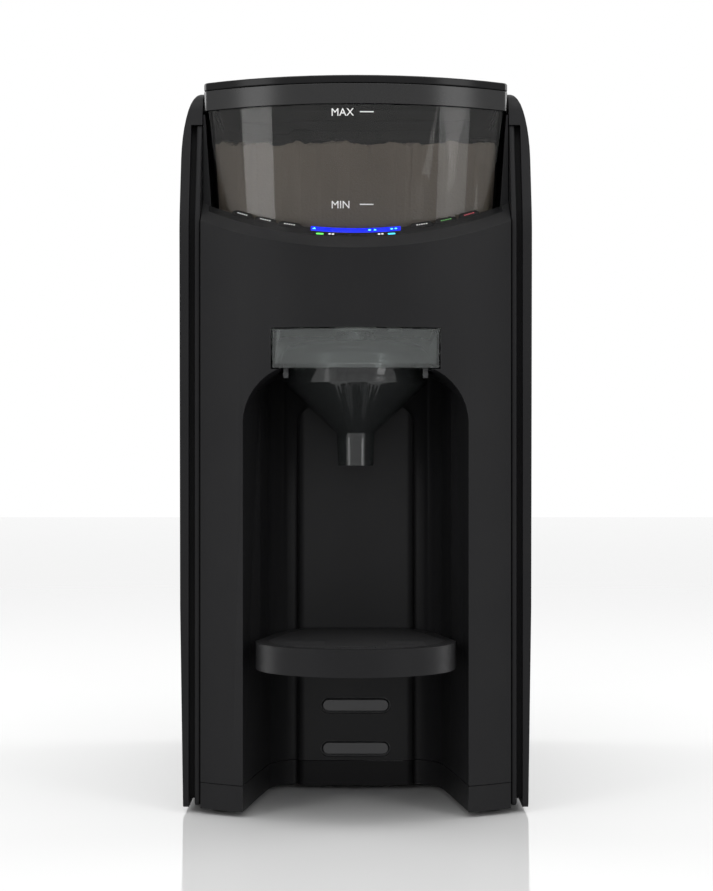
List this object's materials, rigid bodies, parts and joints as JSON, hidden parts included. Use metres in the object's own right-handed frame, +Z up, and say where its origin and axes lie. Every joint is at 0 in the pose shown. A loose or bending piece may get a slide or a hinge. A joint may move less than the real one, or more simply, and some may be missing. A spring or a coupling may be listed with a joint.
{
  "type": "formula dispenser",
  "caption": "Tall countertop dispenser with a clear powder tub over a sloped control strip, a funnel drawer, a bottle bay with a pull-out stand and a rear water tank.",
  "frame": {"origin": "on the table under the middle of the whole footprint", "axes": "+Z up, the front and its bottle bay face -Y, +X is on the right seen from the front"},
  "size_m": [0.193, 0.3, 0.4026],
  "materials": {
    "charcoal_shell": "satin moulded plastic with a fine texture",
    "black_trim": "matt black plastic",
    "gloss_black": "polished black plastic",
    "collar_grey": "polished grey plastic",
    "clear_tub": "clear moulded plastic",
    "smoked_clear": "smoked clear plastic",
    "tank_clear": "clear tinted plastic",
    "screen_blue": "lit display window",
    "lamp_green": "lit indicator",
    "white_plastic": "plain moulded plastic",
    "red_plastic": "plain moulded plastic",
    "orange_plastic": "plain moulded plastic",
    "grey_plastic": "plain moulded plastic",
    "dark_rubber": "matt rubber",
    "silicone": "soft silicone",
    "steel": "drawn steel",
    "board_green": "coated circuit board",
    "brass_gear": "cut brass"
  },
  "bodies": {
    "housing": {"base_pan": "charcoal_shell", "feet": "dark_rubber", "front_shell": "charcoal_shell", "stand_column": "charcoal_shell", "slot_plates": "grey_plastic", "rear_shell": "charcoal_shell", "tank_wall": "charcoal_shell", "top_bridge": "charcoal_shell", "side_panels": "charcoal_shell", "side_channels": "black_trim", "side_strips": "charcoal_shell", "tub_cheeks": "charcoal_shell", "inner_deck": "white_plastic", "tub_seat": "black_trim", "control_fascia": "gloss_black", "display": "screen_blue", "indicator_lights": "lamp_green", "main_board": "board_green", "gear_motor": "steel", "powder_chute": "white_plastic", "water_nozzle": "white_plastic", "drawer_rails": "grey_plastic", "tank_dock": "black_trim", "dock_seal": "silicone", "water_pump": "white_plastic", "heater": "steel", "hoses": "silicone", "power_board": "board_green", "cord_gland": "dark_rubber", "case_screws": "steel"},
    "button_1": {"button_1": "gloss_black"},
    "button_2": {"button_2": "gloss_black"},
    "button_3": {"button_3": "gloss_black"},
    "button_4": {"button_4": "gloss_black"},
    "button_5": {"button_5": "gloss_black"},
    "button_6": {"button_6": "gloss_black"},
    "tub": {"powder_tub": "clear_tub", "tub_collar": "collar_grey", "scraper_plate": "white_plastic"},
    "lid": {"tub_lid": "gloss_black", "lid_seal": "silicone"},
    "wheel": {"measuring_wheel": "white_plastic", "stirring_wheel": "red_plastic", "hub_cap": "grey_plastic"},
    "drive": {"drive_gear": "white_plastic"},
    "pinion": {"motor_pinion": "brass_gear"},
    "drawer": {"funnel_drawer": "smoked_clear", "mixing_funnel": "smoked_clear", "funnel_hood": "smoked_clear", "drawer_clips": "steel"},
    "stand": {"bottle_stand": "charcoal_shell", "stand_grille": "charcoal_shell"},
    "tank": {"water_tank": "tank_clear", "tank_hinge_pin": "steel", "float_cage": "white_plastic"},
    "tank_lid": {"tank_lid": "gloss_black"},
    "valve": {"tank_valve": "grey_plastic", "valve_spring": "steel"},
    "float": {"tank_float": "orange_plastic"}
  },
  "joints": [
    {"name": "button_1_press", "type": "slide", "parent": "housing", "child": "button_1", "axis": [0, 0.5878, -0.809], "range_m": [0, 0.0006], "stiffness_N_per_m": 800, "springref_m": -0.0006},
    {"name": "button_2_press", "type": "slide", "parent": "housing", "child": "button_2", "axis": [0, 0.5878, -0.809], "range_m": [0, 0.0006], "stiffness_N_per_m": 800, "springref_m": -0.0006},
    {"name": "button_3_press", "type": "slide", "parent": "housing", "child": "button_3", "axis": [0, 0.5878, -0.809], "range_m": [0, 0.0006], "stiffness_N_per_m": 800, "springref_m": -0.0006},
    {"name": "button_4_press", "type": "slide", "parent": "housing", "child": "button_4", "axis": [0, 0.5878, -0.809], "range_m": [0, 0.0006], "stiffness_N_per_m": 800, "springref_m": -0.0006},
    {"name": "button_5_press", "type": "slide", "parent": "housing", "child": "button_5", "axis": [0, 0.5878, -0.809], "range_m": [0, 0.0006], "stiffness_N_per_m": 800, "springref_m": -0.0006},
    {"name": "button_6_press", "type": "slide", "parent": "housing", "child": "button_6", "axis": [0, 0.5878, -0.809], "range_m": [0, 0.0006], "stiffness_N_per_m": 800, "springref_m": -0.0006},
    {"name": "tub_lift", "type": "slide", "parent": "housing", "child": "tub", "axis": [0, 0, 1], "range_m": [0, 0.11]},
    {"name": "lid_lift", "type": "slide", "parent": "tub", "child": "lid", "axis": [0, 0, 1], "range_m": [0, 0.06]},
    {"name": "wheel_spin", "type": "hinge", "parent": "tub", "child": "wheel", "pos_m": [0, -0.0425, 0.31], "axis": [0, 0, 1], "continuous": true},
    {"name": "drive_spin", "type": "hinge", "parent": "housing", "child": "drive", "pos_m": [0, -0.0425, 0.29], "axis": [0, 0, 1], "continuous": true},
    {"name": "pinion_spin", "type": "hinge", "parent": "housing", "child": "pinion", "pos_m": [0, -0.01615, 0.29], "axis": [0, 0, 1], "continuous": true},
    {"name": "drawer_slide", "type": "slide", "parent": "housing", "child": "drawer", "axis": [0, -1, 0], "range_m": [0, 0.07]},
    {"name": "stand_pull", "type": "slide", "parent": "housing", "child": "stand", "axis": [0, -1, 0], "range_m": [0, 0.03]},
    {"name": "tank_lift", "type": "slide", "parent": "housing", "child": "tank", "axis": [0, 0, 1], "range_m": [0, 0.15]},
    {"name": "tank_lid_hinge", "type": "hinge", "parent": "tank", "child": "tank_lid", "pos_m": [0, 0.1442, 0.3844], "axis": [-1, 0, 0], "range_deg": [0, 100]},
    {"name": "valve_press", "type": "slide", "parent": "tank", "child": "valve", "axis": [0, 0, 1], "range_m": [0, 0.0015], "stiffness_N_per_m": 400, "springref_m": -0.004},
    {"name": "float_rise", "type": "slide", "parent": "tank", "child": "float", "axis": [0, 0, 1], "range_m": [0, 0.055]}
  ],
  "couplings": [
    {"joint": "wheel_spin", "follows": "drive_spin", "ratio": 1},
    {"joint": "pinion_spin", "follows": "drive_spin", "ratio": -3.3333}
  ]
}
